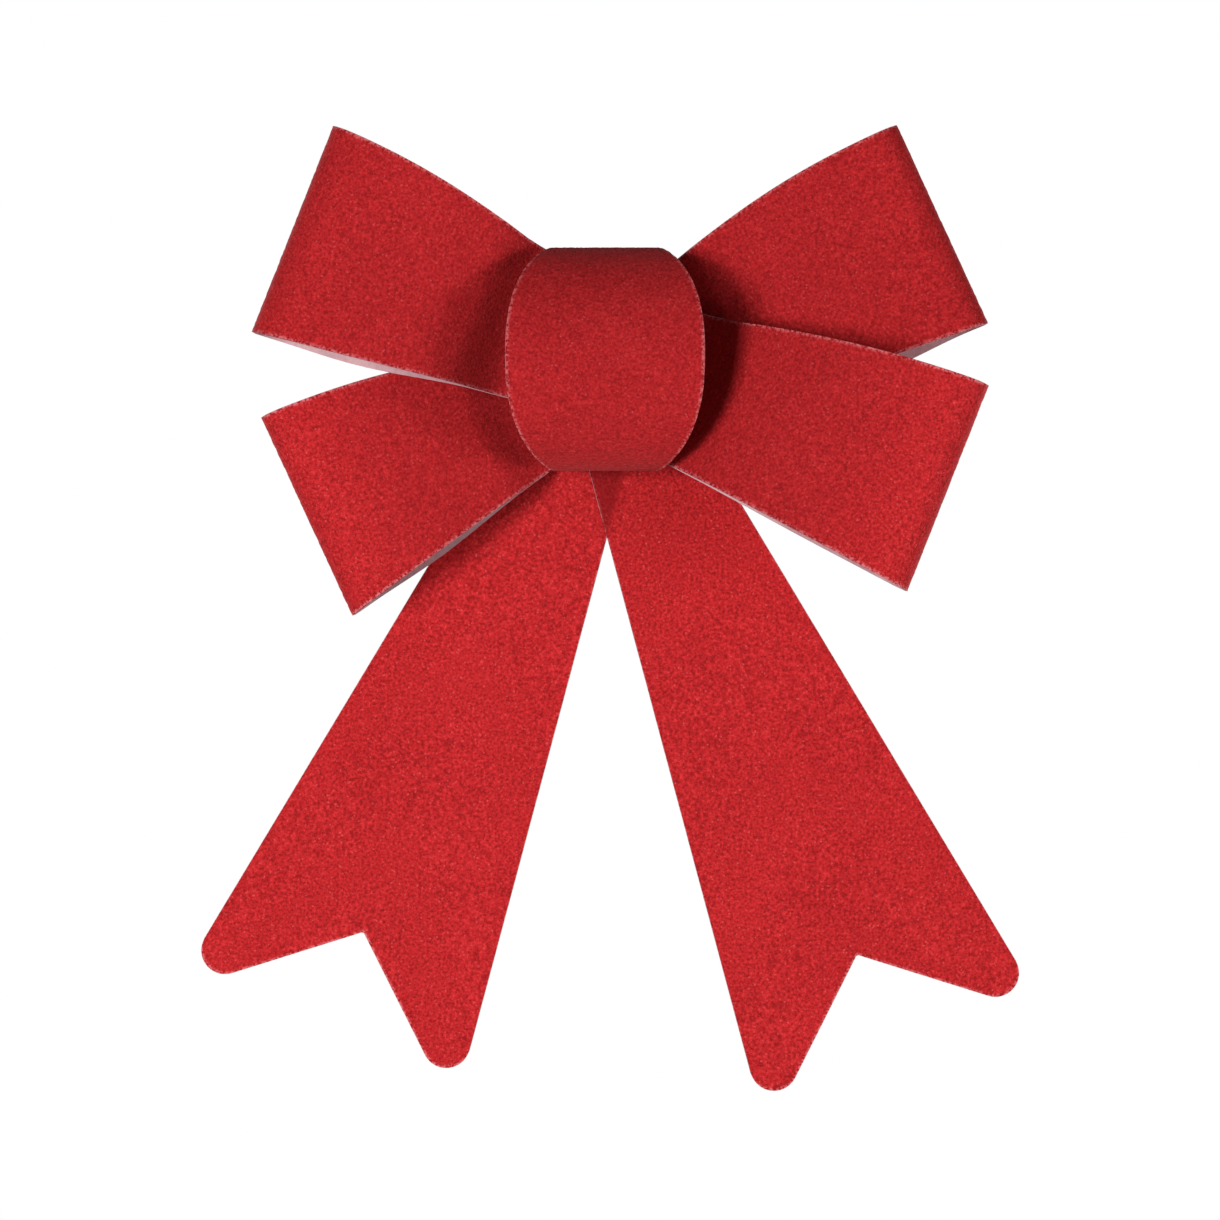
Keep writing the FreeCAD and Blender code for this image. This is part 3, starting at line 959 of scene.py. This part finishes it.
@dataclass
class KnotBand:
    """The band round the middle: barrel-shaped in front, with its ends lapped behind."""

    node: str = "knot_band"
    corner: float = 3 * MM
    end_width: float = 18.2 * MM
    lap: float = 14 * MM
    fullness: float = 2.6
    roundness: float = 0.71
    # Painted shade that darkens the whole band's colour.
    backing_shade_level: float = 0.42
    step: float = 0.5 * MM
    seed: int = 5

    def section(self) -> tuple[np.ndarray, np.ndarray, float]:
        """Side view: up the back, over the round front and up the back again over the lap.

        The line is drawn in depth and height. Its first stretch lies one sheet further in,
        and comes out to the line by a soft step past the lap, so the two ends lie flat.

        Returns:
            Points of the outer face, their normals, and the depth of the barrel's middle.
        """
        low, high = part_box(self.node)
        radius, back = high[2], high[1]
        middle = np.array([low[1] + radius, 0.0])
        inset = back - self.corner
        rise = math.sqrt((radius - self.corner) ** 2 - (inset - middle[0]) ** 2)
        upper, lower = np.array([inset, rise]), np.array([inset, -rise])
        touch = middle + (upper - middle) / np.hypot(*(upper - middle)) * radius
        under = touch * np.array([1.0, -1.0])
        start, end = np.array([back, -self.lap / 2]), np.array([back, self.lap / 2])
        line = np.vstack([
            [start], arc(upper, np.array([back, rise]), touch, True), arc(middle, touch, under, True),
            arc(lower, under, np.array([back, -rise]), True), [end],
        ])
        line = evenly(line, self.step, False)
        normal = outward(line, False)
        run = np.arange(len(line)) * line_length(line, False) / (len(line) - 1)
        inward = 1.08 * SHEET * (1 - smooth_step(self.lap, self.lap + 7 * MM, run))
        return line - normal * inward[:, None], normal, float(middle[0])

    def half_width(self, line: np.ndarray, middle: float) -> np.ndarray:
        """Half the width: in front a full barrel from waist to ends, and even behind.

        The barrel's half width is that of the ends plus the rest times a share: 1 less the
        height over its most, to the power fullness, all to the power roundness.

        Args:
            line: Points of the side view.
            middle: Depth where the barrel ends and the even back begins.

        Returns:
            One half width for each point.
        """
        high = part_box(self.node)[1]
        waist, ends = high[0], self.end_width / 2
        height = np.clip(np.abs(line[:, 1]) / high[2], 0.0, 1.0)
        barrel = ends + (waist - ends) * (1 - height ** self.fullness) ** self.roundness
        return np.where(line[:, 0] < middle, barrel, ends)

    def build(self, dressing: Dressing) -> bpy.types.Object:
        """Carries the side view across the band's width and dresses it.

        Args:
            dressing: The materials of a cut sheet.

        Returns:
            The piece.
        """
        line, normal, middle = self.section()
        half = self.half_width(line, middle)
        share = np.linspace(-1.0, 1.0, round(2 * half.max() / self.step) + 1)
        x = share * half[:, None]
        y, z = (np.broadcast_to(line[:, k:k + 1], x.shape) for k in (0, 1))
        outwards = np.stack([np.zeros(len(line)), normal[:, 0], normal[:, 1]], axis=1)
        shape = x.shape + (3,)
        sheet = Sheet(
            np.stack([x, y, z], axis=2), np.broadcast_to(outwards[:, None], shape),
            np.broadcast_to([1.0, 0.0, 0.0], shape), False, np.full(x.shape, self.backing_shade_level),
        )
        piece = sheet.piece("knot_ribbon", self.seed)
        dressing.put_on(piece, self.node)
        length = line_length(line, False)
        float(2 * half.mean() * length)
        return piece


@dataclass
class GlueDots:
    """Two dots of hot-melt glue squeezed flat between the layers."""

    node: str = "tail_glue"
    squeeze: float = 0.12
    turns: int = 72
    rings: int = 14

    def dot(self, back: float, front: float, seed: int) -> tuple[np.ndarray, np.ndarray]:
        """One dot: a rounded profile spun about its depth, with a wavy rim.

        The profile's half circle gives depth by its sine and adds its cosine to the radius.
        The rim's radius swells and shrinks by squeeze times two sines of the angle. Both
        poles are closed with fans about one point.

        Args:
            back: Depth of its back face.
            front: Depth of its front face.
            seed: Shifts the waves of the rim.

        Returns:
            Its points and its three-cornered faces.
        """
        low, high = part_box(self.node)
        centre_z, radius = (low[2] + high[2]) / 2, (high[2] - low[2]) / 2
        half = abs(front - back) / 2
        tilt = np.linspace(-math.pi / 2, math.pi / 2, self.rings)
        angle = np.arange(self.turns) * 2 * math.pi / self.turns
        waves = 1 - self.squeeze * (0.5 + 0.3 * np.sin(3 * angle + seed) + 0.2 * np.sin(7 * angle))
        spread = (radius - half) + half * np.cos(tilt)
        ring = spread[:, None] * waves[None, :]
        depth = (back + front) / 2 + half * np.sin(tilt)[:, None] * np.ones((1, self.turns))
        points = np.stack([ring * np.cos(angle), depth, centre_z + ring * np.sin(angle)], axis=2)
        poles = np.array([[0.0, depth[0, 0], centre_z], [0.0, depth[-1, 0], centre_z]])
        index = np.arange(self.rings * self.turns).reshape(self.rings, self.turns)
        a, b = index[:-1], index[1:]
        c, d = np.roll(b, -1, axis=1), np.roll(a, -1, axis=1)
        halves = [np.stack(three, -1).reshape(-1, 3) for three in ((a, b, c), (a, c, d))]
        wall = np.concatenate(halves)
        count = index.size
        start, end = index[0], index[-1]
        first = np.stack([start, np.roll(start, -1), np.full(self.turns, count)], axis=-1)
        last = np.stack([np.roll(end, -1), end, np.full(self.turns, count + 1)], axis=-1)
        return np.vstack([points.reshape(-1, 3), poles]), np.concatenate([wall, first, last])

    def build(self, melt: bpy.types.Material) -> bpy.types.Object:
        """Makes both dots as one piece, in the two gaps between tails and knot band.

        Args:
            melt: The glue's material.

        Returns:
            The piece.
        """
        gaps = (
            (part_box("left_tail")[0][1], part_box("right_tail")[1][1]),
            (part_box("right_tail")[0][1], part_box("knot_band")[1][1]),
        )
        points, corners, count = [], [], 0
        for seed, (back, front) in enumerate(gaps, start=1):
            dot_points, dot_corners = self.dot(back, front, seed)
            points.append(dot_points)
            corners.append(dot_corners + count)
            count += len(dot_points)
        corners = np.concatenate(corners)
        piece = mesh_piece("hot_melt_dots", np.vstack(points), corners, np.zeros(len(corners)))
        while len(piece.data.materials) > 1:
            piece.data.materials.pop()
        piece.data.materials[0] = melt
        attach(piece, "root")
        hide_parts(self.node)
        report(piece)
        return piece


# The studio

@dataclass
class Studio:
    """A pale floor, soft light in front and behind on both sides, and the camera."""

    distance: float = 900 * MM
    fill: float = 0.80
    sensor: float = 36.0
    floor_gap: float = 450 * MM
    ambient: float = 0.10
    floor_half: float = 5.0
    aim: tuple = (0.0, 0.0, -0.04)

    def camera(self) -> None:
        """A level camera straight in front of the bow, with the bow filling most of the height."""
        low, high = (np.array(corner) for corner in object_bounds())
        centre = (low + high) / 2
        data = bpy.data.cameras.new("camera")
        data.sensor_width = self.sensor
        data.lens = self.sensor * self.distance * self.fill / float(high[2] - low[2])
        data.clip_start, data.clip_end = 0.01, 20.0
        made = bpy.data.objects.new("camera", data)
        made.location = (centre[0], centre[1] - self.distance, centre[2])
        made.rotation_euler = (math.pi / 2, 0.0, 0.0)
        bpy.context.scene.collection.objects.link(made)
        bpy.context.scene.camera = made

    def floor(self) -> None:
        """A wide pale floor, far enough below the hanging bow to leave room for the lights."""
        half, height = self.floor_half, float(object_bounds()[0][2]) - self.floor_gap
        mesh = bpy.data.meshes.new("floor")
        corners = [(-half, -half, height), (half, -half, height), (half, half, height), (-half, half, height)]
        mesh.from_pydata(corners, [], [(0, 1, 2, 3)])
        g = Graph("pale_floor")
        pale = g.mix(g.noise(0.4), (0.86, 0.86, 0.86, 1), (0.9, 0.9, 0.9, 1))
        g.finish(Base_Color=pale, Roughness=0.9, Specular_IOR_Level=0.0)
        lit = g.node("ShaderNodeEmission", {}, {"Color": (1.0, 1.0, 1.0, 1)})
        seen = g.node("ShaderNodeLightPath", {}, {}, "Is Camera Ray")
        both = g.node("ShaderNodeMixShader", {}, {0: seen, 1: Value(g, g.shader.outputs[0]), 2: lit})
        g.tree.links.new(both.socket, g.tree.nodes["Material Output"].inputs["Surface"])
        mesh.materials.append(g.material)
        made = bpy.data.objects.new("floor", mesh)
        bpy.context.scene.collection.objects.link(made)
        made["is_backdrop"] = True

    def light(self, name: str, place: tuple, size: float, power: float) -> None:
        """One square soft light that faces the middle of the bow.

        Args:
            name: Name of the light.
            place: Where it stands.
            size: Length of its side.
            power: Power in watts.
        """
        data = bpy.data.lights.new(name, "AREA")
        data.size, data.energy = size, power
        made = bpy.data.objects.new(name, data)
        made.location = place
        way = np.array(self.aim) - np.array(place)
        flat = math.hypot(way[0], way[1])
        made.rotation_euler = (math.atan2(flat, -way[2]), 0.0, math.atan2(-way[0], way[1]))
        bpy.context.scene.collection.objects.link(made)

    def world(self) -> bpy.types.World:
        """A world that looks white and lights the bow only dimly, so that shadows show.

        Returns:
            The world.
        """
        world = bpy.data.worlds.new("pale_world")
        world.use_nodes = True
        tree = world.node_tree
        seen = tree.nodes.new("ShaderNodeLightPath").outputs["Is Camera Ray"]
        strength = tree.nodes.new("ShaderNodeMapRange")
        strength.inputs["To Min"].default_value = self.ambient
        tree.links.new(seen, strength.inputs["Value"])
        back = tree.nodes["Background"]
        back.inputs["Color"].default_value = (1.0, 1.0, 1.0, 1)
        tree.links.new(strength.outputs[0], back.inputs["Strength"])
        return world

    def build(self) -> None:
        """Sets up everything that isn't part of the bow."""
        scene = bpy.context.scene
        scene.view_settings.view_transform = "Standard"
        scene.world = self.world()
        self.camera()
        self.floor()
        self.light("key", (-0.36, -0.68, -0.04), 0.22, 5.6)
        self.light("fill", (0.66, -0.40, -0.14), 0.26, 3.1)
        self.light("back_left", (-0.50, 0.70, 0.10), 0.35, 3.4)
        self.light("back_right", (0.50, 0.70, -0.05), 0.35, 3.4)


def main() -> None:
    """Builds the bow from back to front, then the studio."""
    logging.basicConfig(level=logging.INFO, format="%(name)s: %(message)s")
    dressing = Dressing(Flock().material(), BareSheet().material(), CutEdge().material())
    left_tail = Tail(node="left_tail", lean=-23.0, drop=0.0, seed=1)
    left_tail.build(dressing)
    Tail(node="right_tail", lean=23.0, drop=4.3 * MM, seed=2, over=left_tail).build(dressing)
    LoopStrip(
        node="rear_loop_strip", slope=24.7, lift=-3.4 * MM,
        right=Loop(
            reach=65 * MM, slip=-1.9 * MM, swell_top=1.6 * MM, swell_bottom=0.3 * MM, end_backing_shade=0.22),
        left=Loop(
            reach=57.5 * MM, slip=-0.7 * MM, swell_top=1.0 * MM, swell_bottom=0.0,
            trim_bottom=2.6 * MM, neck_bottom=8 * MM),
        nose=5.6 * MM, nose_depth=9.2 * MM, bulge=130 * MM, under=300 * MM, seed=3,
    ).build(dressing)
    LoopStrip(
        node="front_loop_strip", slope=-21.6, lift=0.6 * MM,
        right=Loop(reach=63.6 * MM, slip=-0.2 * MM, swell_top=0.9 * MM, swell_bottom=0.0),
        left=Loop(
            reach=58 * MM, slip=-0.8 * MM, swell_top=1.1 * MM, swell_bottom=0.2 * MM, end_backing_shade=0.28),
        nose=6.5 * MM, nose_depth=22.5 * MM, bulge=62 * MM, under=62 * MM, seed=4,
    ).build(dressing)
    KnotBand().build(dressing)
    GlueDots().build(HotMelt().material())
    steel = StapleSteel().material()
    staple = bpy.data.objects["centre_staple"]
    for slot in staple.material_slots:
        slot.material = steel
    report(staple)
    Studio().build()


if __name__ == "__main__":
    main()
